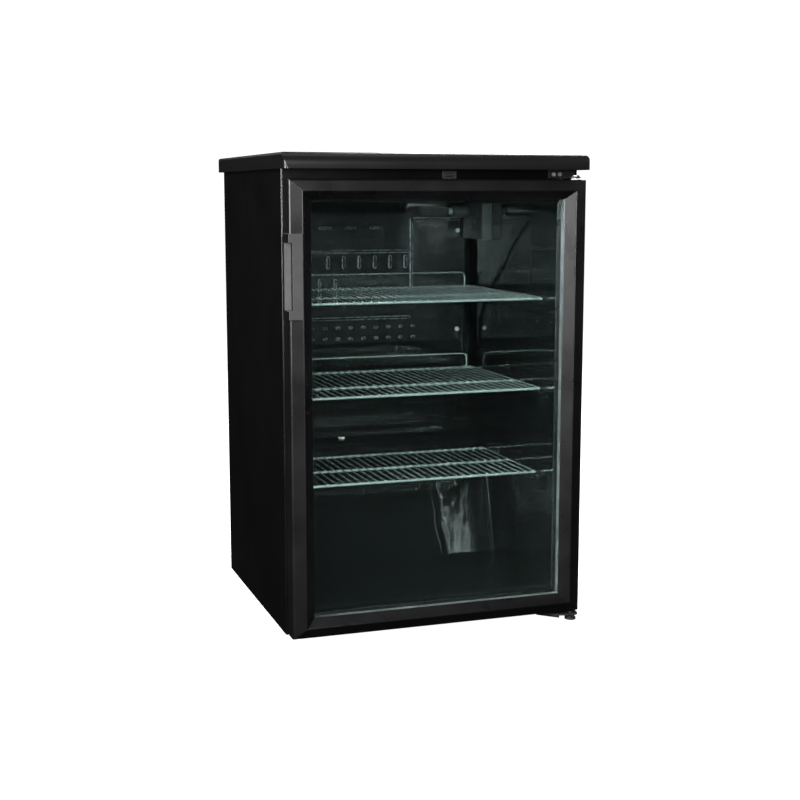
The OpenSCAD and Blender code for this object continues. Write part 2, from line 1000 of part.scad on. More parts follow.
// Angle screwed to the top rail, with the plate that holds the top pin
module top_hinge_bracket() {
    color(dark)
        difference() {
            union() {
                block([218, cab_front_y - 3, top_plate_z], [268, cab_front_y, top_z0 - 0.6]);
                block([248, hinge_y, top_plate_z], [268, cab_front_y, top_plate_z + top_plate_t]);
                translate([258, hinge_y, top_plate_z])
                    cylinder(h = top_plate_t, r = 10);
            }
            translate([hinge_x, hinge_y, 0])
                cylinder(h = far, r = top_pin_r);
            for (x = hinge_screw_x)
                translate([x, cab_front_y - 5, hinge_screw_z])
                    rotate([-90, 0, 0])
                        cylinder(h = 10, r = hinge_screw_r);
        }
}

module top_hinge_pin() {
    color(steel)
        translate([hinge_x, hinge_y, 0]) {
            translate([0, 0, top_pin_z0])
                cylinder(h = top_plate_z + top_plate_t - top_pin_z0, r = top_pin_r);
            translate([0, 0, top_plate_z + top_plate_t])
                cylinder(h = 2.4, r = 6);
        }
}

// Flat bracket under the cabinet: carries the door and the right front foot
module bottom_hinge_bracket() {
    color(dark)
        difference() {
            union() {
                translate([0, 0, bracket_z0])
                    linear_extrude(bracket_z1 - bracket_z0)
                        polygon([[200, -190], [200, -262], [232, -292], [258, -299],
                                 [268, -296], [272, -284], [272, -190]]);
                translate([0, 0, bracket_z0 - 4])
                    linear_extrude(4 + eps)
                        polygon([[200, -262], [232, -292], [234, -290], [203, -261]]);
            }
            translate([hinge_x, hinge_y, 0])
                cylinder(h = far, r = hinge_pin_r);
            translate([right_foot[0], right_foot[1], 0])
                cylinder(h = far, r = hinge_pin_r);
            for (p = bracket_screw_at)
                translate([p[0], p[1], 0])
                    cylinder(h = far, r = bracket_screw_r);
        }
}

module bottom_hinge_pin() {
    color(steel)
        translate([hinge_x, hinge_y, bracket_z0])
            cylinder(h = bottom_pin_z1 - bracket_z0, r = hinge_pin_r);
}

// Screws of both hinge brackets
module hinge_screws() {
    color(steel) {
        for (x = hinge_screw_x)
            translate([x, cab_front_y - 3, hinge_screw_z])
                rotate([90, 0, 0]) {
                    pan_head(3.6, 2);
                    translate([0, 0, -8])
                        cylinder(h = 8, r = hinge_screw_r);
                }
        for (p = bracket_screw_at)
            translate([p[0], p[1], bracket_z0])
                rotate([180, 0, 0]) {
                    cylinder(h = 3.4, r = 5.4, $fn = 6);
                    translate([0, 0, bracket_z0 - bracket_z1])
                        cylinder(h = bracket_z1 - bracket_z0, r = bracket_screw_r);
                }
    }
}

// Adjustable foot: pad, hexagon and threaded stem up to stem_z
module foot(at, stem_z) {
    color("gray")
        translate([at[0], at[1], 0]) {
            cylinder(h = 4, r = foot_r);
            translate([0, 0, 4])
                cylinder(h = 3, r = 7, $fn = 6);
            cylinder(h = stem_z, r = foot_stem_r);
        }
}

module left_front_foot() {
    foot(left_foot, cab_floor_z - 0.4);
}

module right_front_foot() {
    foot(right_foot, 14);
}

module rear_feet() {
    color(dark)
        mirrored_x()
            translate([rear_foot[0], rear_foot[1], 0]) {
                cylinder(h = 8, r = 18);
                cylinder(h = carrier_z, r = 13);
            }
}

// ---------------------------------------------------------------- door

// Cross-section of a frame bar of width w: u from the outer edge, d from the face
function bar_outline(w) = [
    for (p = concat(
        [[0, frame_d]],
        arc(7, 14, 7, 180, 250, 7),
        arc(22.5, 3.2, 3.2, 250, 320, 7),
        [[39.4, 14.4], [bar_ref_w, glass_d], [glass_in, glass_d], [glass_in, trim_d],
         [trim_in, trim_d], [trim_in, frame_d]]
    )) [p[0] * w / bar_ref_w, front_y + p[1]]
];

// Upright bar along the left edge of the door, before its mitres
module upright_bar() {
    translate([-door_half_w, 0, door_z0])
        linear_extrude(door_z1 - door_z0)
            polygon(bar_outline(stile_w));
}

// Level bar along the bottom edge of the door, before its mitres
module level_bar() {
    along_x(2 * door_half_w)
        polygon([for (p = bar_outline(rail_w)) [p[1], door_z0 + p[0]]]);
}

// Part of the door that belongs to the left bar, between its two mitres
module left_mitre() {
    along_y(-far, far)
        polygon([[-door_half_w, door_z0], [-door_half_w + stile_w + eps, door_z0 + rail_w],
                 [-door_half_w + stile_w + eps, door_z1 - rail_w], [-door_half_w, door_z1]]);
}

// Part of the door that belongs to the bottom bar, between its two mitres
module bottom_mitre() {
    along_y(-far, far)
        polygon([[-door_half_w, door_z0], [door_half_w, door_z0],
                 [door_half_w - stile_w, door_z0 + rail_w + eps],
                 [-door_half_w + stile_w, door_z0 + rail_w + eps]]);
}

module flip_z() {
    translate([0, 0, door_z0 + door_z1])
        mirror([0, 0, 1])
            children();
}

// Left bar, with the pocket for the handle
module door_left_stile() {
    color(black)
        difference() {
            intersection() {
                upright_bar();
                left_mitre();
            }
            block([-far, -far, handle_z0], [handle_in_x, handle_back_y, handle_z1]);
        }
}

module door_right_stile() {
    color(black)
        difference() {
            mirror([1, 0, 0])
                intersection() {
                    upright_bar();
                    left_mitre();
                }
            bush_hole();
        }
}

module door_bottom_rail() {
    color(black)
        difference() {
            intersection() {
                level_bar();
                bottom_mitre();
            }
            bush_hole();
        }
}

module door_top_rail() {
    color(black)
        difference() {
            flip_z()
                intersection() {
                    level_bar();
                    bottom_mitre();
                }
            bush_hole();
        }
}

module bush_hole() {
    translate([hinge_x, hinge_y, 0]) {
        translate([0, 0, door_z0 - 1])
            cylinder(h = bush_len + 1, r = bush_r);
        translate([0, 0, door_z1 - bush_len])
            cylinder(h = bush_len + 1, r = bush_r);
    }
}

// Nylon bushes that the two hinge pins turn in
module hinge_bushes() {
    color("white")
        translate([hinge_x, hinge_y, 0]) {
            difference() {
                union() {
                    translate([0, 0, door_z0])
                        cylinder(h = bush_len, r = bush_r);
                    translate([0, 0, door_z0 - bush_flange_t])
                        cylinder(h = bush_flange_t, r = bush_flange_r);
                }
                cylinder(h = door_z0 + bush_len - 1, r = hinge_pin_r + running_fit);
            }
            difference() {
                union() {
                    translate([0, 0, door_z1 - bush_len])
                        cylinder(h = bush_len, r = bush_r);
                    translate([0, 0, door_z1])
                        cylinder(h = bush_flange_t, r = bush_flange_r);
                }
                translate([0, 0, door_z1 - bush_len + 1])
                    cylinder(h = bush_len + 10, r = top_pin_r + running_fit);
            }
        }
}

// Rectangle that lies u inside the door's outline, measured on the bar's section
module inset_rect(u) {
    dx = u * stile_w / bar_ref_w;
    dz = u * rail_w / bar_ref_w;
    translate([-door_half_w + dx, door_z0 + dz])
        square([2 * (door_half_w - dx), door_z1 - door_z0 - 2 * dz]);
}

// Ring between two insets of the door, from depth y0 to y1
module door_ring(u0, u1, y0, y1) {
    along_y(y0, y1)
        difference() {
            inset_rect(u0);
            inset_rect(u1);
        }
}

module pane(y) {
    along_y(y, y + pane_t)
        inset_rect(glass_in);
}

module outer_glass() {
    color("lightcyan", 0.3)
        pane(glass_y);
}

module inner_glass() {
    color("lightcyan", 0.3)
        pane(inner_glass_y);
}

module glass_spacer() {
    color("silver")
        door_ring(glass_in + 1, glass_in + 9, glass_y + pane_t, inner_glass_y);
}

// Snap-in trim behind the glass, which also holds the gasket
module door_inner_trim() {
    color(dark)
        union() {
            door_ring(trim_in, trim_in + 26, front_y + trim_d, frame_back_y - trim_lip_t);
            door_ring(trim_in, trim_in + 18, frame_back_y - trim_lip_t - eps, frame_back_y);
        }
}

// Magnetic gasket between the trim and the cabinet front
module door_gasket() {
    color("dimgray")
        union() {
            door_ring(trim_in + 1, trim_in + 15, frame_back_y, frame_back_y + gasket_lip_t);
            door_ring(trim_in + 4, trim_in + 14, frame_back_y + gasket_lip_t - eps, cab_front_y - gasket_gap);
        }
}

// Moulded grip with a finger recess open to the left
module door_handle() {
    color("dimgray")
        difference() {
            block([handle_out_x, handle_front_y, handle_z0], [handle_in_x, handle_back_y, handle_z1]);
            translate([0, 0, handle_z0 + handle_end])
                linear_extrude(handle_z1 - handle_z0 - 2 * handle_end) {
                    polygon([[handle_out_x - 1, recess_front_y], [handle_in_x - 6, recess_front_y],
                             [handle_in_x - 5, recess_front_y + 3], [handle_out_x - 1, recess_back_y]]);
                    translate([handle_out_x - 1, front_y - 1])
                        square([7.5, 11]);
                }
        }
}

left_side_panel();
right_side_panel();
rear_panel();
base_panel();
niche_panel();
foam_insulation();
inner_liner();
front_top_rail();
worktop();
worktop_screws();
switch_bezel();
light_switch();
evaporator_plate();
evaporator_screws();
evaporator_tube();
drip_gutter();
drain_tube();
evaporation_tray();
compressor();
compressor_base();
compressor_grommets();
compressor_bolts();
start_relay_box();
filter_drier();
discharge_line();
suction_line();
condenser_tube();
condenser_wires();
condenser_brackets();
wall_spacers();
cord_gland();
control_housing();
thermostat_body();
thermostat_knob();
lamp_socket();
lamp_bulb();
lower_shelf();
middle_shelf();
upper_shelf();
middle_shelf_fence();
upper_shelf_fence();
top_hinge_bracket();
top_hinge_pin();
bottom_hinge_bracket();
bottom_hinge_pin();
hinge_screws();
left_front_foot();
right_front_foot();
rear_feet();
door_left_stile();
door_right_stile();
door_top_rail();
door_bottom_rail();
outer_glass();
inner_glass();
glass_spacer();
door_inner_trim();
door_gasket();
door_handle();
hinge_bushes();
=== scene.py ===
import json
import math

import bmesh
import bpy
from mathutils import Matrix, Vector

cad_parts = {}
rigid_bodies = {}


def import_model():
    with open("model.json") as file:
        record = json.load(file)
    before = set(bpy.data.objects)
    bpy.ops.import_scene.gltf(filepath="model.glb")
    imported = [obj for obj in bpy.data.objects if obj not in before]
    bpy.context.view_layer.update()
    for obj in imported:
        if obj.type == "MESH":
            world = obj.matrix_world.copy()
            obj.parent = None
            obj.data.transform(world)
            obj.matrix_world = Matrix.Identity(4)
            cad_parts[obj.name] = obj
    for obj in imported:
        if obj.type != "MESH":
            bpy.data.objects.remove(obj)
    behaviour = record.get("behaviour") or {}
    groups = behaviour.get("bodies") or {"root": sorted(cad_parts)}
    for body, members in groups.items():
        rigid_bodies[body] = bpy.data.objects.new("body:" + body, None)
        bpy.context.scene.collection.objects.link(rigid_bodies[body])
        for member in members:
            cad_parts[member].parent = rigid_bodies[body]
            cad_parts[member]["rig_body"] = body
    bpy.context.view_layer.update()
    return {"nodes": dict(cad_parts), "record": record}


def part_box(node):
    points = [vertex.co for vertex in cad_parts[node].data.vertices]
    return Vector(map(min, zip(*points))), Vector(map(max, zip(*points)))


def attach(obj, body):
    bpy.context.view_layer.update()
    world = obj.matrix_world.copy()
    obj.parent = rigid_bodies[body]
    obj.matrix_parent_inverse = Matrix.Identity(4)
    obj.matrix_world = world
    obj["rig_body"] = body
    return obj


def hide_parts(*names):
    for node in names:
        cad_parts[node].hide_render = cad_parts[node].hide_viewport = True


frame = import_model()

MM = 0.001
SLOT_OF = {part["node"]: part["material_slot"] for part in frame["record"]["subparts"]}


# ------------------------------------------------------------------ camera

camera = bpy.data.objects.new("camera", bpy.data.cameras.new("camera"))
bpy.context.scene.collection.objects.link(camera)
bpy.context.scene.camera = camera
camera.location = (-0.8416, -2.5366, 0.7827)
camera.rotation_euler = (math.radians(81.48), 0, math.radians(-18.79))
camera.data.lens = 62.3
camera.data.sensor_width = 36


# ------------------------------------------------------------------ material building blocks

def new_material(name):
    """A node material, its tree and its shader."""
    material = bpy.data.materials.new(name)
    material.use_nodes = True
    return material, material.node_tree, material.node_tree.nodes["Principled BSDF"]


def object_coords(tree):
    """Metres in the cabinet's own frame."""
    return tree.nodes.new("ShaderNodeTexCoord").outputs["Object"]


def noise(tree, scale, detail=2.0):
    """Noise with features about 1/scale metres across."""
    texture = tree.nodes.new("ShaderNodeTexNoise")
    texture.inputs["Scale"].default_value = scale
    texture.inputs["Detail"].default_value = detail
    tree.links.new(object_coords(tree), texture.inputs["Vector"])
    return texture.outputs["Fac"]


def cells(tree, scale, output="Distance"):
    """Voronoi cells about 1/scale metres across."""
    texture = tree.nodes.new("ShaderNodeTexVoronoi")
    texture.inputs["Scale"].default_value = scale
    tree.links.new(object_coords(tree), texture.inputs["Vector"])
    return texture.outputs[output]


def ramp(tree, factor, dark, light, low=0.35, high=0.65):
    """A colour from dark to light as factor goes from low to high."""
    node = tree.nodes.new("ShaderNodeValToRGB")
    node.color_ramp.elements[0].position = low
    node.color_ramp.elements[0].color = (*dark, 1)
    node.color_ramp.elements[1].position = high
    node.color_ramp.elements[1].color = (*light, 1)
    tree.links.new(factor, node.inputs["Fac"])
    return node.outputs["Color"]


def spread(tree, factor, low, high):
    """A number from low to high over the middle part of a noise's range."""
    node = tree.nodes.new("ShaderNodeMapRange")
    node.inputs["From Min"].default_value = 0.3
    node.inputs["From Max"].default_value = 0.7
    node.inputs["To Min"].default_value = low
    node.inputs["To Max"].default_value = high
    tree.links.new(factor, node.inputs["Value"])
    return node.outputs["Result"]


def bump(tree, height, depth, under=None):
    """Relief of the given depth in metres, on top of an earlier one."""
    node = tree.nodes.new("ShaderNodeBump")
    node.inputs["Distance"].default_value = depth
    tree.links.new(height, node.inputs["Height"])
    if under is not None:
        tree.links.new(under, node.inputs["Normal"])
    return node.outputs["Normal"]


def finish(name, dark, light, rough, metallic=0.0, specular=0.5, mottle=6.0, grain=None, wave=None):
    """Mottled colour, uneven roughness, and relief at up to two scales, each as (scale, depth)."""
    material, tree, shader = new_material(name)
    shader.inputs["Metallic"].default_value = metallic
    shader.inputs["Specular IOR Level"].default_value = specular
    tree.links.new(ramp(tree, noise(tree, mottle, 4.0), dark, light), shader.inputs["Base Color"])
    tree.links.new(spread(tree, noise(tree, mottle * 3.1, 3.0), *rough), shader.inputs["Roughness"])
    relief = None
    for scale, depth in filter(None, (wave, grain)):
        relief = bump(tree, noise(tree, scale), depth, relief)
    if relief is not None:
        tree.links.new(relief, shader.inputs["Normal"])
    return material


# ------------------------------------------------------------------ materials, one per slot

def galvanised():
    """Zinc-coated sheet with its spangle of flat crystals."""
    material, tree, shader = new_material("galvanised")
    shader.inputs["Metallic"].default_value = 0.85
    crystals = cells(tree, 90.0, "Color")
    tone = tree.nodes.new("ShaderNodeSeparateColor")
    tree.links.new(crystals, tone.inputs["Color"])
    tree.links.new(ramp(tree, tone.outputs["Red"], (0.36, 0.38, 0.39), (0.52, 0.54, 0.55), 0.0, 1.0),
                   shader.inputs["Base Color"])
    tree.links.new(spread(tree, tone.outputs["Green"], 0.34, 0.5), shader.inputs["Roughness"])
    tree.links.new(bump(tree, noise(tree, 4.0), 0.002), shader.inputs["Normal"])
    return material


def foam():
    """Yellowish polyurethane with its fine cells."""
    material, tree, shader = new_material("foam")
    tree.links.new(ramp(tree, noise(tree, 30.0, 5.0), (0.62, 0.5, 0.26), (0.75, 0.64, 0.38)),
                   shader.inputs["Base Color"])
    tree.links.new(spread(tree, noise(tree, 90.0), 0.8, 0.95), shader.inputs["Roughness"])
    tree.links.new(bump(tree, cells(tree, 900.0), 0.0006), shader.inputs["Normal"])
    return material


def glass(name, tint, rough):
    """Clear glass with faint smears. Lamps shine through it."""
    material, tree, shader = new_material(name)
    shader.inputs["Transmission Weight"].default_value = 1.0
    shader.inputs["IOR"].default_value = 1.5
    tree.links.new(ramp(tree, noise(tree, 2.0), [0.96 * c for c in tint], tint), shader.inputs["Base Color"])
    tree.links.new(spread(tree, noise(tree, 14.0, 5.0), *rough), shader.inputs["Roughness"])
    clear = tree.nodes.new("ShaderNodeBsdfTransparent")
    clear.inputs["Color"].default_value = (*tint, 1)
    light_path = tree.nodes.new("ShaderNodeLightPath")
    mix = tree.nodes.new("ShaderNodeMixShader")
    tree.links.new(light_path.outputs["Is Shadow Ray"], mix.inputs["Fac"])
    tree.links.new(shader.outputs["BSDF"], mix.inputs[1])
    tree.links.new(clear.outputs["BSDF"], mix.inputs[2])
    tree.links.new(mix.outputs["Shader"], tree.nodes["Material Output"].inputs["Surface"])
    return material


def spacer_metal():
    """Aluminium spacer with its rows of pinholes, drawn as dark spots: painted shade of the holes' insides.
    """
    material, tree, shader = new_material("spacer_metal")
    shader.inputs["Metallic"].default_value = 1.0
    # Dark spots at the cell centres are painted shade standing in for the pinholes.
    hole_shade_spots = cells(tree, 420.0)
    tree.links.new(ramp(tree, hole_shade_spots, (0.05, 0.05, 0.05), (0.42, 0.43, 0.44), 0.16, 0.22),
                   shader.inputs["Base Color"])
    tree.links.new(spread(tree, noise(tree, 60.0), 0.3, 0.45), shader.inputs["Roughness"])
    return material


def greys(low, high, warmth=0.0):
    """A dark and a light tone, from neutral to slightly blue."""
    return [low, low, low * (1.08 - warmth)], [high, high, high * (1.08 - warmth)]


MATERIALS = {
    "cabinet_black": finish("cabinet_black", *greys(0.0013, 0.0019), (0.22, 0.28), specular=0.35,
                            mottle=3.0, grain=(1400.0, 0.00003)),
    "worktop_black": finish("worktop_black", *greys(0.0026, 0.0034), (0.29, 0.32), specular=0.35,
                            mottle=4.0, grain=(2400.0, 0.000015)),
    "frame_black": finish("frame_black", *greys(0.0022, 0.0030), (0.26, 0.34), specular=0.4,
                          mottle=5.0, grain=(2800.0, 0.00002)),
    "handle_grey": finish("handle_grey", *greys(0.036, 0.043, 0.06), (0.55, 0.65), specular=0.2, mottle=40.0,
                          grain=(2200.0, 0.00009)),
    "liner_black": finish("liner_black", [0.0022, 0.0028, 0.0027], [0.0034, 0.0042, 0.004], (0.03, 0.06),
                          specular=0.75, mottle=5.0, wave=(9.0, 0.0012), grain=(160.0, 0.000004)),
    "galvanised": galvanised(),
    "foam": foam(),
    "evaporator_metal": finish("evaporator_metal", *greys(0.0045, 0.0060), (0.14, 0.19), specular=1.0,
                               mottle=12.0, wave=(7.0, 0.0006), grain=(300.0, 0.000004)),
    # Lighter metal for the evaporator's channel rims: a painted highlight standing in for glints on the
    # channel edges.
    "evaporator_painted_glint": finish("evaporator_painted_glint", *greys(0.10, 0.17), (0.22, 0.34), metallic=0.6,
                              mottle=40.0, grain=(900.0, 0.00001)),
    "copper": finish("copper", [0.45, 0.19, 0.10], [0.72, 0.36, 0.20], (0.22, 0.42), metallic=1.0,
                     mottle=35.0, grain=(700.0, 0.00003)),
    "compressor_black": finish("compressor_black", *greys(0.008, 0.013), (0.26, 0.38), mottle=14.0,
                               wave=(45.0, 0.0002), grain=(900.0, 0.00003)),
    "condenser_black": finish("condenser_black", *greys(0.010, 0.018), (0.35, 0.5), mottle=20.0,
                              grain=(1200.0, 0.00004)),
    "rubber_black": finish("rubber_black", *greys(0.012, 0.02), (0.68, 0.82), mottle=25.0,
                           grain=(1800.0, 0.00008)),
    "zinc": finish("zinc", [0.42, 0.43, 0.42], [0.58, 0.59, 0.58], (0.28, 0.45), metallic=0.95,
                   mottle=60.0, grain=(1600.0, 0.00003)),
    "chrome_wire": finish("chrome_wire", [0.50, 0.55, 0.53], [0.56, 0.61, 0.59], (0.22, 0.27), metallic=0.85,
                          mottle=30.0, grain=(300.0, 0.000004)),
    "dark_plastic": finish("dark_plastic", *greys(0.014, 0.02), (0.45, 0.58), mottle=15.0,
                           grain=(1700.0, 0.00006)),
    "white_plastic": finish("white_plastic", [0.66, 0.66, 0.62], [0.74, 0.74, 0.70], (0.34, 0.46),
                            mottle=30.0, grain=(1500.0, 0.00003)),
    "glass_clear": glass("glass_clear", (0.93, 0.985, 0.98), (0.0, 0.003)),
    "bulb_glass": glass("bulb_glass", (0.93, 0.95, 0.94), (0.12, 0.2)),
    "gasket_rubber": finish("gasket_rubber", *greys(0.016, 0.024), (0.6, 0.72), mottle=30.0,
                            grain=(1400.0, 0.00005)),
    "spacer_metal": spacer_metal(),
    "bracket_metal": finish("bracket_metal", *greys(0.010, 0.016), (0.36, 0.48), metallic=0.4, mottle=25.0,
                            grain=(1500.0, 0.00004)),
}

for node_name, node_object in frame["nodes"].items():
    node_object.data.materials.clear()
    node_object.data.materials.append(MATERIALS[SLOT_OF[node_name]])


# ------------------------------------------------------------------ mesh building blocks

def add_piece(bm, name, *nodes, body=None, slot=None, smooth=32.0):
    """Turns bm into a piece that stands for nodes and rides on their body."""
    mesh = bpy.data.meshes.new(name)
    bmesh.ops.recalc_face_normals(bm, faces=bm.faces)
    bm.to_mesh(mesh)
    bm.free()
    mesh.shade_smooth()
    mesh.set_sharp_from_angle(angle=math.radians(smooth))
    piece = bpy.data.objects.new(name, mesh)
    bpy.context.scene.collection.objects.link(piece)
    slot = slot or SLOT_OF[nodes[0]]
    mesh.materials.append(MATERIALS[slot])
    even = piece.modifiers.new("even_shading", "WEIGHTED_NORMAL")
    even.keep_sharp = True
    even.weight = 100
    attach(piece, body or frame["nodes"][nodes[0]]["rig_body"])
    if nodes:
        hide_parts(*nodes)
    return piece


def dissolved(bm):
    """Joins the triangles of flat faces."""
    bmesh.ops.dissolve_limit(bm, angle_limit=math.radians(1), verts=bm.verts, edges=bm.edges)


def round_edges(bm, width, segments=2, sharper_than=28.0):
    """Bevels the edges over an angle in degrees by a width in mm."""
    edges = [e for e in bm.edges if e.is_manifold and e.calc_face_angle(0) > math.radians(sharper_than)]
    bmesh.ops.bevel(bm, geom=edges, offset=width * MM, segments=segments, profile=0.5, affect="EDGES",
                    clamp_overlap=True)


def copy_of(node):
    """A node's mesh to work on."""
    bm = bmesh.new()
    bm.from_mesh(frame["nodes"][node].data)
    bmesh.ops.remove_doubles(bm, verts=bm.verts, dist=0.002 * MM)
    dissolved(bm)
    return bm


def refined(node, width, segments=2, smooth=32.0):
    """The CAD shape with its edges rounded."""
    bm = copy_of(node)
    round_edges(bm, width, segments)
    add_piece(bm, node + "_piece", node, smooth=smooth)


def prism(bm, outline, low, high, place):
    """Extrudes an outline between two levels. place turns (a, b, level) into a point."""
    ends = [[bm.verts.new(place(a, b, level)) for a, b in outline] for level in (low, high)]
    bm.faces.new(ends[0])
    bm.faces.new(reversed(ends[1]))
    for i in range(len(outline)):
        j = (i + 1) % len(outline)
        bm.faces.new((ends[0][i], ends[0][j], ends[1][j], ends[1][i]))


def arc(cx, cy, radius, start, end, steps):
    """Points of an arc between two angles in degrees."""
    angles = [math.radians(start + (end - start) * i / steps) for i in range(steps + 1)]
    return [(cx + radius * math.cos(a), cy + radius * math.sin(a)) for a in angles]


def lathe(bm, profile, place, sides=48):
    """Revolves (radius, height) points. place turns (x, y, height) into a point."""
    rings = []
    for radius, height in profile:
        if radius < 1e-6:
            rings.append([bm.verts.new(place(0, 0, height))])
            continue
        angles = [2 * math.pi * i / sides for i in range(sides)]
        rings.append([bm.verts.new(place(radius * math.cos(a), radius * math.sin(a), height))
                      for a in angles])
    for low, high in zip(rings, rings[1:]):
        for i in range(sides):
            j = (i + 1) % sides
            corners = [low[i % len(low)], low[j % len(low)], high[j % len(high)], high[i % len(high)]]
            corners = list(dict.fromkeys(corners))
            if len(corners) > 2:
                bm.faces.new(corners)


def rounded_path(points, bend, steps=6):
    """Points in mm with every corner replaced by an arc of radius bend."""
    points = [Vector(p) for p in points]
    path = [points[0]]
    for before, corner, after in zip(points, points[1:], points[2:]):
        towards, onward = (before - corner), (after - corner)
        turn = math.pi - towards.angle(onward)
        if turn < math.radians(2):
            path.append(corner)
            continue
        reach = min(bend * math.tan(turn / 2), 0.49 * towards.length, 0.49 * onward.length)
        radius = reach / math.tan(turn / 2)
        start, end = corner + towards.normalized() * reach, corner + onward.normalized() * reach
        middle = (towards.normalized() + onward.normalized()).normalized()
        centre = corner + middle * (radius / math.cos(turn / 2))
        a, b = start - centre, end - centre
        for i in range(steps + 1):
            share = i / steps
            swing = turn * share
            direction = (a * math.sin(turn - swing) + b * math.sin(swing)) / math.sin(turn)
            path.append(centre + direction)
    path.append(points[-1])
    return path


def tube(bm, path, radius, sides=12, cap_rings=3):
    """Round rod along a path in mm, with domed ends."""
    path = [Vector(p) for p in path]
    ways = [(b - a).normalized() for a, b in zip(path, path[1:])]
    tangents = [ways[0]] + [(a + b).normalized() for a, b in zip(ways, ways[1:])] + [ways[-1]]
    side = ways[0].orthogonal().normalized()
    stations = []
    for point, tangent in zip(path, tangents):
        side = (side - tangent * side.dot(tangent)).normalized()
        stations.append((point, tangent, side, radius))
    start, end = stations[0], stations[-1]
    domes = [math.pi / 2 * i / cap_rings for i in range(1, cap_rings)]
    first = [(start[0] + start[1] * radius * (1 - math.sin(a)), start[1], start[2], radius * math.cos(a))
             for a in reversed(domes)]
    last = [(end[0] - end[1] * radius * (1 - math.sin(a)), end[1], end[2], radius * math.cos(a))
            for a in domes]
    inner_start = (start[0] + start[1] * radius, start[1], start[2], radius)
    inner_end = (end[0] - end[1] * radius, end[1], end[2], radius)
    stations = first + [inner_start] + stations[1:-1] + [inner_end] + last
    rings = []
    for point, tangent, across, r in stations:
        up = tangent.cross(across)
        rings.append([bm.verts.new((point + (across * math.cos(t) + up * math.sin(t)) * r) * MM)
                      for t in (2 * math.pi * i / sides for i in range(sides))])
    for low, high in zip(rings, rings[1:]):
        for i in range(sides):
            j = (i + 1) % sides
            bm.faces.new((low[i], low[j], high[j], high[i]))
    for ring, tip in ((rings[0], start[0]), (rings[-1], end[0])):
        pole = bm.verts.new(tip * MM)
        for i in range(sides):
            bm.faces.new((ring[i], ring[(i + 1) % sides], pole))


def helper_object(bm, name):
    """Links bm as a working object, for the modifiers of baked."""
    mesh = bpy.data.meshes.new(name)
    bm.to_mesh(mesh)
    bm.free()
    helper = bpy.data.objects.new(name, mesh)
    bpy.context.scene.collection.objects.link(helper)
    return helper


def baked(helper, kind, **settings):
    """Applies a modifier to a helper object, and gives the mesh to work on."""
    modifier = helper.modifiers.new(kind.lower(), kind)
    for key, value in settings.items():
        setattr(modifier, key, value)
    graph = bpy.context.evaluated_depsgraph_get()
    bm = bmesh.new()
    bm.from_mesh(bpy.data.meshes.new_from_object(helper.evaluated_get(graph)))
    bpy.data.objects.remove(helper)
    return bm


# ------------------------------------------------------------------ the pieces that keep the CAD outline

# Rounding of the edges in mm, and its steps
EDGES = {
    "rear_panel": (0.3, 2), "base_panel": (0.3, 2), "niche_panel": (0.3, 2), "front_top_rail": (1.2, 3),
    "worktop": (0.9, 3), "worktop_screws": (0.25, 2), "switch_bezel": (0.35, 2), "light_switch": (0.4, 3),
    "evaporator_screws": (0.25, 2), "drip_gutter": (0.6, 2), "drain_tube": (0.4, 2),
    "evaporation_tray": (0.7, 3), "compressor": (0.9, 3), "compressor_base": (0.5, 2),
    "compressor_bolts": (0.4, 2), "start_relay_box": (2.0, 3), "condenser_brackets": (0.8, 2),
    "wall_spacers": (1.5, 3), "cord_gland": (0.8, 3), "control_housing": (0.9, 3),
    "thermostat_body": (1.2, 2), "thermostat_knob": (0.5, 3), "lamp_socket": (0.9, 3),
    "top_hinge_bracket": (0.4, 2), "top_hinge_pin": (0.5, 3), "bottom_hinge_bracket": (0.4, 2),
    "bottom_hinge_pin": (0.6, 3), "hinge_screws": (0.2, 2), "left_front_foot": (0.6, 3),
    "right_front_foot": (0.6, 3), "rear_feet": (1.2, 3), "door_left_stile": (0.35, 2),
    "door_right_stile": (0.35, 2), "door_top_rail": (0.35, 2), "door_bottom_rail": (0.35, 2),
    "glass_spacer": (0.4, 2), "door_inner_trim": (0.8, 3), "door_handle": (1.1, 4), "hinge_bushes": (0.4, 2),
}
for node_name, (width, steps) in EDGES.items():
    refined(node_name, width, steps)


def blacken_handle_sides():
    """Faces of the grip that face left take the door's black: partly the black shell round the grey insert,
    partly painted shade on left-facing faces such as the slot's edge.
    """
    mesh = bpy.data.objects["door_handle_piece"].data
    mesh.materials.append(MATERIALS["frame_black"])
    for face in mesh.polygons:
        # Left-facing faces: partly the black shell, partly painted shade.
        if face.normal.x < -0.8:
            face.material_index = 1


blacken_handle_sides()
for node_name in ("outer_glass", "inner_glass"):
    refined(node_name, 0.6, 1, smooth=10.0)


# ------------------------------------------------------------------ evaporator

def evaporator():
    """Roll-bonded plate, whose channels are blown up into domes. The sloped rings round each dome get a
    lighter metal material, a painted highlight standing in for glints on the channel edges.
    """
    bm = copy_of("evaporator_plate")
    top = min(v.co.y for v in bm.verts)
    crowns = [f for f in bm.faces if all(v.co.y < top + 0.1 * MM for v in f.verts)]
    ring_width, sinks = 1.0 * MM, (1.6, 0.5)
    for sink in sinks:
        rim = {v for f in crowns for v in f.verts}
        rings = bmesh.ops.inset_individual(bm, faces=crowns, thickness=ring_width, use_even_offset=True)
        # The sloped rings take the plate's second, lighter material: painted highlight on the channel edges.
        for face in rings["faces"]:
            face.material_index = 1
        for v in rim:
            v.co.y = top + sink * MM
    plate = add_piece(bm, "evaporator_plate_piece", "evaporator_plate")
    plate.data.materials.append(MATERIALS["evaporator_painted_glint"])


evaporator()


# ------------------------------------------------------------------ side panels

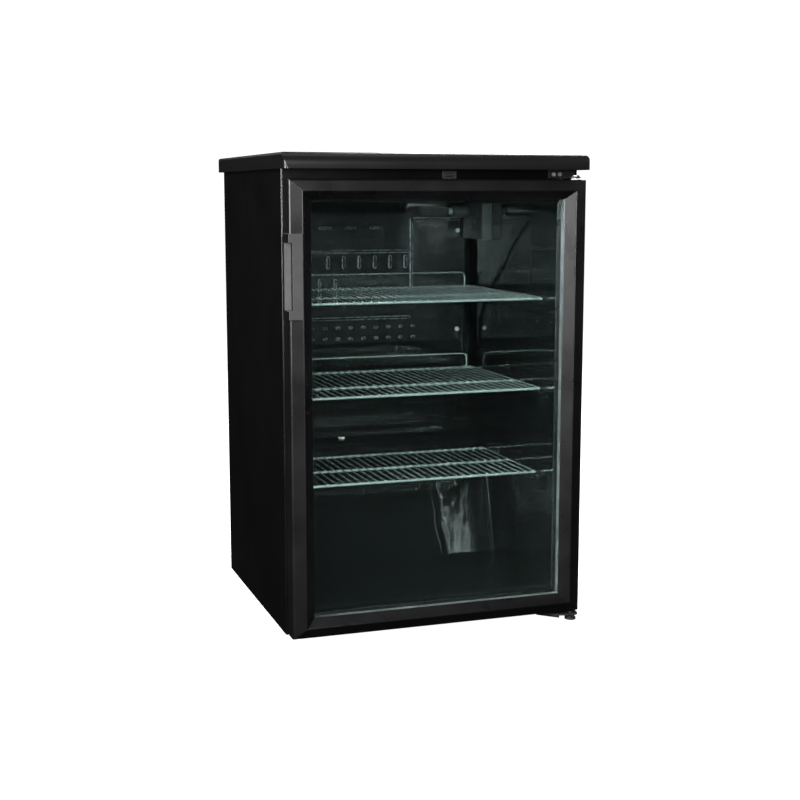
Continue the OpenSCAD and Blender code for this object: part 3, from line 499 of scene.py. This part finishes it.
def side_panel(node, side):
    """Folded sheet: a flat side with a rounded fold into the front return."""
    low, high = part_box(node)
    outer_x = max(abs(low.x), abs(high.x)) / MM
    inner_x = min(abs(low.x), abs(high.x)) / MM
    front, back = low.y / MM, high.y / MM
    fold, sheet = 3.0, 1.0
    outline = [(inner_x, front)] + arc(outer_x - fold, front + fold, fold, -90, 0, 6) + [(outer_x, back)]
    outline += [(outer_x - sheet, back)] + arc(outer_x - fold, front + fold, fold - sheet, 0, -90, 6)
    outline += [(inner_x, front + sheet)]
    bm = bmesh.new()
    prism(bm, outline, low.z, high.z, lambda a, b, level: (side * a * MM, b * MM, level))
    round_edges(bm, 0.25, 2, 50.0)
    add_piece(bm, node + "_piece", node)


side_panel("left_side_panel", -1)
side_panel("right_side_panel", 1)


# ------------------------------------------------------------------ liner

CAB_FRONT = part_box("inner_liner")[0].y / MM
SHELVES = ("lower_shelf", "middle_shelf", "upper_shelf")
WIRE_R = 1.25
SHELF_Z = [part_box(node)[1].z / MM - WIRE_R for node in SHELVES]
ROOM_HALF_W = 236.0
ROOM_BACK = 180.0
RIB_DEPTH = 10.0
RIB_FRONT = -205.0
LINER_T = 1.5


def at_front(v):
    return abs(v.co.y - CAB_FRONT * MM) < 0.01 * MM


def room():
    """The cold room as a solid, with its lip in front and the hump over the compressor."""
    floor_z, lip, ceiling = 52.0, 59.0, 765.0
    outline = [(CAB_FRONT, lip), (CAB_FRONT + 10, lip), (CAB_FRONT + 18, floor_z), (25, floor_z), (72, 220),
               (150, 278), (ROOM_BACK, 286), (ROOM_BACK, ceiling), (CAB_FRONT, ceiling)]
    bm = bmesh.new()
    prism(bm, outline, -ROOM_HALF_W, ROOM_HALF_W, lambda a, b, level: (level * MM, a * MM, b * MM))
    bmesh.ops.recalc_face_normals(bm, faces=bm.faces)
    return helper_object(bm, "room")


def ribs():
    """Rails under the shelves, on both side walls."""
    below, above, past_back = 30, 6, 400
    bm = bmesh.new()
    for z in SHELF_Z:
        for side in (-1, 1):
            outline = [(RIB_FRONT, z - below), (past_back, z - below), (past_back, z - above),
                       (RIB_FRONT, z - above)]
            prism(bm, outline, side * (ROOM_HALF_W - RIB_DEPTH), side * (ROOM_HALF_W + 5),
                  lambda a, b, level: (level * MM, a * MM, b * MM))
    bmesh.ops.recalc_face_normals(bm, faces=bm.faces)
    return helper_object(bm, "ribs")


def add_flange(bm):
    """Opens the room's front and puts the flange round it."""
    half_w, low, high = 251.0, 13.5, 803.0
    bmesh.ops.delete(bm, geom=[f for f in bm.faces if all(map(at_front, f.verts))], context="FACES_ONLY")
    inner = {(v.co.x > 0, v.co.z > 0.4): v for v in bm.verts if at_front(v)}
    outer = {}
    for right, top in inner:
        corner = ((half_w if right else -half_w) * MM, CAB_FRONT * MM, (high if top else low) * MM)
        outer[(right, top)] = bm.verts.new(corner)
    ring = [(False, False), (True, False), (True, True), (False, True)]
    for a, b in zip(ring, ring[1:] + ring[:1]):
        bm.faces.new((inner[a], inner[b], outer[b], outer[a]))


def face_inwards(bm):
    """Turns the faces towards the middle of the room."""
    bmesh.ops.recalc_face_normals(bm, faces=bm.faces)
    round_edges(bm, 5.0, 4, 9.0)
    walls = [f for f in bm.faces if abs(f.normal.y) > 0.9 and f.calc_center_median().y > 0]
    back = max(walls, key=lambda f: f.calc_area())
    if back.normal.dot(Vector((0, -0.1, 0.45)) - back.calc_center_median()) < 0:
        bmesh.ops.reverse_faces(bm, faces=bm.faces)


def liner():
    """Vacuum-formed skin: one surface bent round the room, its ribs and the front flange, then thickened."""
    cutter = ribs()
    bm = baked(room(), "BOOLEAN", object=cutter, operation="DIFFERENCE", solver="EXACT")
    bpy.data.objects.remove(cutter)
    bmesh.ops.remove_doubles(bm, verts=bm.verts, dist=0.01 * MM)
    dissolved(bm)
    add_flange(bm)
    face_inwards(bm)
    bm = baked(helper_object(bm, "skin"), "SOLIDIFY", thickness=LINER_T * MM, offset=-1.0)
    add_piece(bm, "inner_liner_piece", "inner_liner", smooth=40.0)


liner()


def foam_block():
    """The CAD foam with the corners under the liner's rounded ribs cut back."""
    bm = copy_of("foam_insulation")
    rib_x, rib_y, near = ROOM_HALF_W - RIB_DEPTH + LINER_T, RIB_FRONT + LINER_T, 0.5
    corners = [v for v in bm.verts
               if abs(abs(v.co.x) / MM - rib_x) < near and abs(v.co.y / MM - rib_y) < near]
    bmesh.ops.bevel(bm, geom=corners, offset=3.0 * MM, segments=1, affect="VERTICES")
    add_piece(bm, "foam_insulation_piece", "foam_insulation")


foam_block()


# ------------------------------------------------------------------ shelves

MIDDLE_BAR_Y = {"lower_shelf": -57.0, "middle_shelf": -74.0, "upper_shelf": -66.0}


def shelf(node):
    """Round cross bars under a row of front-to-back wires, all with domed ends."""
    low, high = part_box(node)
    half_w, front, back = high.x / MM, low.y / MM, high.y / MM
    z = high.z / MM - WIRE_R
    bar_r, bar_drop, pitch, per_side = 2.5, 3.0, 15.5, 15
    bm = bmesh.new()
    for y in (front + bar_r, MIDDLE_BAR_Y[node], back - bar_r):
        tube(bm, [(-half_w, y, z - bar_drop), (half_w, y, z - bar_drop)], bar_r, 18)
    for k in range(per_side):
        for side in (-1, 1):
            x = side * pitch * (k + 0.5)
            tube(bm, [(x, front + 0.5, z), (x, back - 0.5, z)], WIRE_R, 12)
    add_piece(bm, node + "_piece", node, smooth=50.0)


def fence(node):
    """Upright loop of wire at a shelf's back."""
    low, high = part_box(node)
    r, bend = 1.6, 10.0
    half_w, y = high.x / MM - r, (low.y + high.y) / 2 / MM
    z_low, z_high = low.z / MM - 1, high.z / MM - r
    bm = bmesh.new()
    path = rounded_path([(-half_w, y, z_low), (-half_w, y, z_high), (half_w, y, z_high), (half_w, y, z_low)],
                        bend, 8)
    tube(bm, path, r, 14)
    add_piece(bm, node + "_piece", node, smooth=50.0)


for node_name in SHELVES:
    shelf(node_name)
fence("middle_shelf_fence")
fence("upper_shelf_fence")


# ------------------------------------------------------------------ pipes and condenser

def pipe_piece(node, points, radius, bend):
    """Copper pipe through points in mm, with rounded bends."""
    bm = bmesh.new()
    tube(bm, rounded_path(points, bend), radius, 16)
    add_piece(bm, node + "_piece", node, smooth=50.0)


COIL_Y = 240.0
COIL_HALF_W = 215.0
COIL_PITCH = 44.0
COIL_R = 2.4
COIL_ROWS = 12
COIL_Z = [285.0 + COIL_PITCH * i for i in range(COIL_ROWS)]
WALL_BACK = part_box("rear_panel")[1].y / MM
TUBE_Y = 166.6
SUCTION_X, SUCTION_Z = 214.0, 352.0
COMPRESSOR_X, COMPRESSOR_Y = -40.0, 192.0
CAN_R = 64.0
DIAGONAL = CAN_R * math.cos(math.pi / 4)

pipe_piece("evaporator_tube", [
    (100, TUBE_Y, 736), (183, TUBE_Y, 594), (SUCTION_X, TUBE_Y, 520), (SUCTION_X, TUBE_Y, SUCTION_Z),
    (SUCTION_X, ROOM_BACK, SUCTION_Z)], 2.8, 12)
pipe_piece("discharge_line", [
    (COMPRESSOR_X + CAN_R, COMPRESSOR_Y, 78), (COMPRESSOR_X + 90, COMPRESSOR_Y, 78),
    (COMPRESSOR_X + 115, COMPRESSOR_Y + 60, 88), (242, 262, 110), (250, COIL_Y, 150),
    (250, COIL_Y, COIL_Z[-1]), (COIL_HALF_W, COIL_Y, COIL_Z[-1])], COIL_R, 14)
pipe_piece("suction_line", [
    (COMPRESSOR_X + DIAGONAL, COMPRESSOR_Y - DIAGONAL, 84), (COMPRESSOR_X + 66, COMPRESSOR_Y - 66, 92),
    (120, 150, 150), (SUCTION_X, WALL_BACK + 8, 220), (SUCTION_X, WALL_BACK + 8, SUCTION_Z),
    (SUCTION_X, ROOM_BACK, SUCTION_Z)], 3.4, 16)


def condenser():
    """Serpentine tube in one run, and the wires welded across both its faces."""
    bend = COIL_PITCH / 2
    path = [(COIL_HALF_W, COIL_Y, COIL_Z[0])]
    for i, z in enumerate(COIL_Z[:-1]):
        side = -1 if i % 2 == 0 else 1
        turn = arc(0, z + bend, bend, -90, 90, 12)
        path += [(side * (COIL_HALF_W - bend + x), COIL_Y, height) for x, height in turn]
    path.append((COIL_HALF_W, COIL_Y, COIL_Z[-1]))
    bm = bmesh.new()
    tube(bm, path, COIL_R, 14)
    add_piece(bm, "condenser_tube_piece", "condenser_tube", smooth=50.0)
    wire_r, pitch, per_side, overhang = 0.8, 17.0, 10, 14
    low, high = COIL_Z[0] - overhang, COIL_Z[-1] + overhang
    bm = bmesh.new()
    for side in (-1, 1):
        y = COIL_Y + side * (COIL_R + wire_r)
        for k in range(-per_side, per_side + 1):
            tube(bm, [(pitch * k, y, low), (pitch * k, y, high)], wire_r, 8, 2)
    add_piece(bm, "condenser_wires_piece", "condenser_wires", smooth=60.0)


condenser()


def drier():
    """Spun copper can with rolled beads, and the pipe from it to the coil."""
    x, r, bottom, bead = 228.0, 9.0, 138, 0.5
    profile = [(0, 0), (1.5, 0), (2.2, 3), (7.5, 9.5), (r, 12.5), (r, 20), (r - bead, 21), (r, 22), (r, 72),
               (r - bead, 73), (r, 74), (r, 81.5), (7.5, 84.5), (3.4, 91), (2.8, 94), (0, 94)]
    bm = bmesh.new()
    lathe(bm, profile, lambda a, b, h: ((x + a) * MM, (COIL_Y + b) * MM, (bottom + h) * MM))
    pipe = [(x, COIL_Y, 226), (x, COIL_Y, COIL_Z[0]), (COIL_HALF_W, COIL_Y, COIL_Z[0])]
    tube(bm, rounded_path(pipe, 9), COIL_R, 16)
    add_piece(bm, "filter_drier_piece", "filter_drier")


drier()


# ------------------------------------------------------------------ compressor grommets

def grommets():
    """Rubber feet with a waist where the compressor's plate sits."""
    low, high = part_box("compressor_grommets")
    bottom, top = low.z / MM, high.z / MM
    apart_x, apart_y = 72, 62
    bm = bmesh.new()
    profile = [(4, bottom), (9.4, bottom), (10, bottom + 0.8), (10, bottom + 4), (8.2, bottom + 5.2),
               (8.2, bottom + 7), (10, bottom + 8.4), (10, top - 0.8), (9.4, top), (4, top), (4, bottom)]
    for x in (COMPRESSOR_X - apart_x, COMPRESSOR_X + apart_x):
        for y in (COMPRESSOR_Y - apart_y, COMPRESSOR_Y + apart_y):
            lathe(bm, profile, lambda a, b, h, x=x, y=y: ((x + a) * MM, (y + b) * MM, h * MM), 32)
    bmesh.ops.remove_doubles(bm, verts=bm.verts, dist=0.01 * MM)
    add_piece(bm, "compressor_grommets_piece", "compressor_grommets")


grommets()


# ------------------------------------------------------------------ lamp bulb

def bulb():
    """Blown glass tube with a metal cap at its root."""
    low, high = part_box("lamp_bulb")
    y, z = (low.y + high.y) / 2 / MM, (low.z + high.z) / 2 / MM
    root, r = high.x / MM, (high.z - low.z) / 2 / MM
    cap_end, dome_start, thread_r, groove_r = 8, 63, 6.9, 6.4

    def place(a, b, h):
        return (root - h) * MM, (y + a) * MM, (z + b) * MM

    profile = [(0, cap_end), (6.6, cap_end), (7.0, 9.5), (8.6, 12), (r, 17)]
    profile += arc(0, dome_start, r, 0, 75, 5) + [(0, dome_start + r)]
    bm = bmesh.new()
    lathe(bm, profile, place, 40)
    add_piece(bm, "lamp_bulb_piece", "lamp_bulb")
    thread = [(thread_r if h % 2 else groove_r, h) for h in range(1, 6)]
    profile = [(0, 0.2), (6.2, 0.2)] + thread + [(thread_r, cap_end), (0, cap_end)]
    bm = bmesh.new()
    lathe(bm, profile, place, 32)
    add_piece(bm, "lamp_cap", body="cabinet", slot="zinc")


bulb()


# ------------------------------------------------------------------ gasket

def gasket():
    """Magnetic bellows gasket: one profile carried round the door's four sides."""
    low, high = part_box("door_gasket")
    front, back = low.y / MM, high.y / MM
    door_low, door_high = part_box("door_left_stile")[0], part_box("door_right_stile")[1]
    half_w, z0, z1 = door_high.x / MM, door_low.z / MM, door_high.z / MM
    stile_w, rail_w = 40.5, 35.0
    ratio = rail_w / stile_w
    profile = [(19, front), (19, front + 1.2), (20.4, front + 1.7), (21.6, front + 2.4), (22, front + 3.6),
               (22.4, back - 0.5), (23, back), (26, back), (26.5, back - 0.5), (27.5, back - 0.5), (28, back),
               (31, back), (31.6, back - 0.5), (32, front + 3.8), (31.2, front + 2.9), (30.6, front + 2.3),
               (31.4, front + 1.7), (33, front + 1.2), (33, front)]
    bm = bmesh.new()
    rings = []
    for right, top in ((-1, 0), (1, 0), (1, 1), (-1, 1)):
        rings.append([bm.verts.new((right * (half_w - u) * MM, y * MM,
                                    (z1 - u * ratio if top else z0 + u * ratio) * MM)) for u, y in profile])
    for a in range(4):
        b = (a + 1) % 4
        for i in range(len(profile)):
            j = (i + 1) % len(profile)
            bm.faces.new((rings[a][i], rings[a][j], rings[b][j], rings[b][i]))
    add_piece(bm, "door_gasket_piece", "door_gasket", smooth=50.0)


gasket()


# ------------------------------------------------------------------ studio

# Strengths of the surroundings: as light, in reflections, and where the camera sees them
AMBIENT = 0.13
IN_REFLECTIONS = 0.006
BACKDROP = 1.1
FLOOR_GLOW = 0.96
FLOOR_SHADE = 0.012


def math_node(tree, operation, a, b):
    """Clamped arithmetic on sockets or numbers."""
    node = tree.nodes.new("ShaderNodeMath")
    node.operation = operation
    node.use_clamp = True
    for socket, value in zip(node.inputs, (a, b)):
        if isinstance(value, (int, float)):
            socket.default_value = value
        else:
            tree.links.new(value, socket)
    return node.outputs["Value"]


def seen_straight(tree):
    """1 for rays that come from the camera directly or through glass alone, otherwise 0."""
    path = tree.nodes.new("ShaderNodeLightPath")
    bounced = math_node(tree, "ADD", path.outputs["Glossy Depth"], path.outputs["Diffuse Depth"])
    through = math_node(tree, "SUBTRACT", path.outputs["Is Transmission Ray"], bounced)
    return math_node(tree, "MAXIMUM", path.outputs["Is Camera Ray"], through)


def world():
    """White backdrop for the camera, soft light for the object, and almost dark in reflections."""
    studio = bpy.data.worlds.new("studio")
    bpy.context.scene.world = studio
    studio.use_nodes = True
    tree = studio.node_tree
    soft = tree.nodes["Background"]
    soft.inputs["Color"].default_value = (1, 1, 1, 1)
    path = tree.nodes.new("ShaderNodeLightPath")
    strength = tree.nodes.new("ShaderNodeMapRange")
    strength.inputs["To Min"].default_value = AMBIENT
    strength.inputs["To Max"].default_value = IN_REFLECTIONS
    tree.links.new(path.outputs["Is Glossy Ray"], strength.inputs["Value"])
    tree.links.new(strength.outputs["Result"], soft.inputs["Strength"])
    backdrop = tree.nodes.new("ShaderNodeBackground")
    backdrop.inputs["Color"].default_value = (1, 1, 1, 1)
    backdrop.inputs["Strength"].default_value = BACKDROP
    mix = tree.nodes.new("ShaderNodeMixShader")
    tree.links.new(seen_straight(tree), mix.inputs["Fac"])
    tree.links.new(soft.outputs["Background"], mix.inputs[1])
    tree.links.new(backdrop.outputs["Background"], mix.inputs[2])
    tree.links.new(mix.outputs["Shader"], tree.nodes["World Output"].inputs["Surface"])


def floor():
    """Floor that glows as a lit backdrop does where the camera sees it, and lights the object little."""
    bm = bmesh.new()
    bmesh.ops.create_grid(bm, x_segments=8, y_segments=8, size=30.0)
    mesh = bpy.data.meshes.new("floor")
    bm.to_mesh(mesh)
    bm.free()
    plane = bpy.data.objects.new("floor", mesh)
    plane.location.z = -0.0005
    bpy.context.scene.collection.objects.link(plane)
    material, tree, shader = new_material("floor")
    tree.links.new(ramp(tree, noise(tree, 0.5), (0.48, 0.48, 0.48), (0.5, 0.5, 0.5)),
                   shader.inputs["Base Color"])
    shader.inputs["Roughness"].default_value = 1.0
    shader.inputs["Specular IOR Level"].default_value = 0.0
    shader.inputs["Emission Color"].default_value = (1, 1, 1, 1)
    shader.inputs["Emission Strength"].default_value = FLOOR_GLOW
    shade = tree.nodes.new("ShaderNodeBsdfDiffuse")
    shade.inputs["Color"].default_value = (FLOOR_SHADE, FLOOR_SHADE, FLOOR_SHADE, 1)
    mix = tree.nodes.new("ShaderNodeMixShader")
    tree.links.new(seen_straight(tree), mix.inputs["Fac"])
    tree.links.new(shade.outputs["BSDF"], mix.inputs[1])
    tree.links.new(shader.outputs["BSDF"], mix.inputs[2])
    tree.links.new(mix.outputs["Shader"], tree.nodes["Material Output"].inputs["Surface"])
    mesh.materials.append(material)
    plane.visible_glossy = False


def softbox(name, azimuth, elevation, distance, width, height, power):
    """Area lamp on a sphere round the cabinet's middle. Azimuth 0 is in front, 90 at the right."""
    middle = Vector((0, 0, 0.45))
    a, e = math.radians(azimuth), math.radians(elevation)
    way = Vector((math.sin(a) * math.cos(e), -math.cos(a) * math.cos(e), math.sin(e)))
    data = bpy.data.lights.new(name, "AREA")
    data.shape = "RECTANGLE"
    data.size, data.size_y = width, height
    data.energy = power
    lamp = bpy.data.objects.new(name, data)
    lamp.location = middle + way * distance
    lamp.rotation_euler = (-way).to_track_quat("-Z", "Y").to_euler()
    lamp.visible_camera = False
    bpy.context.scene.collection.objects.link(lamp)


# Azimuth, elevation, distance, width, height and power of each lamp
LAMPS = {
    "key_left": (-50, 36, 3.2, 1.2, 1.2, 80),
    "key_right": (95, 30, 3.2, 1.2, 1.2, 140),
    "frame_left": (-28, 17, 3.2, 0.6, 0.8, 4),
    "frame_top": (-9, 39, 3.2, 0.6, 0.9, 56),
    "front_strip": (-14.0, 9, 3.1, 0.18, 0.75, 60),
    "edge_left": (-66, 12, 3.0, 0.5, 1.2, 120),
    "top_back": (178, 78, 3.0, 2.0, 1.4, 7),
    "back_left": (-140, 38, 3.2, 1.2, 1.2, 45),
    "back_right": (150, 30, 3.2, 1.2, 1.2, 45),
}

world()
floor()
for lamp_name, lamp_settings in LAMPS.items():
    softbox(lamp_name, *lamp_settings)

scene = bpy.context.scene
scene.view_settings.view_transform = "Standard"
scene.view_settings.look = "None"
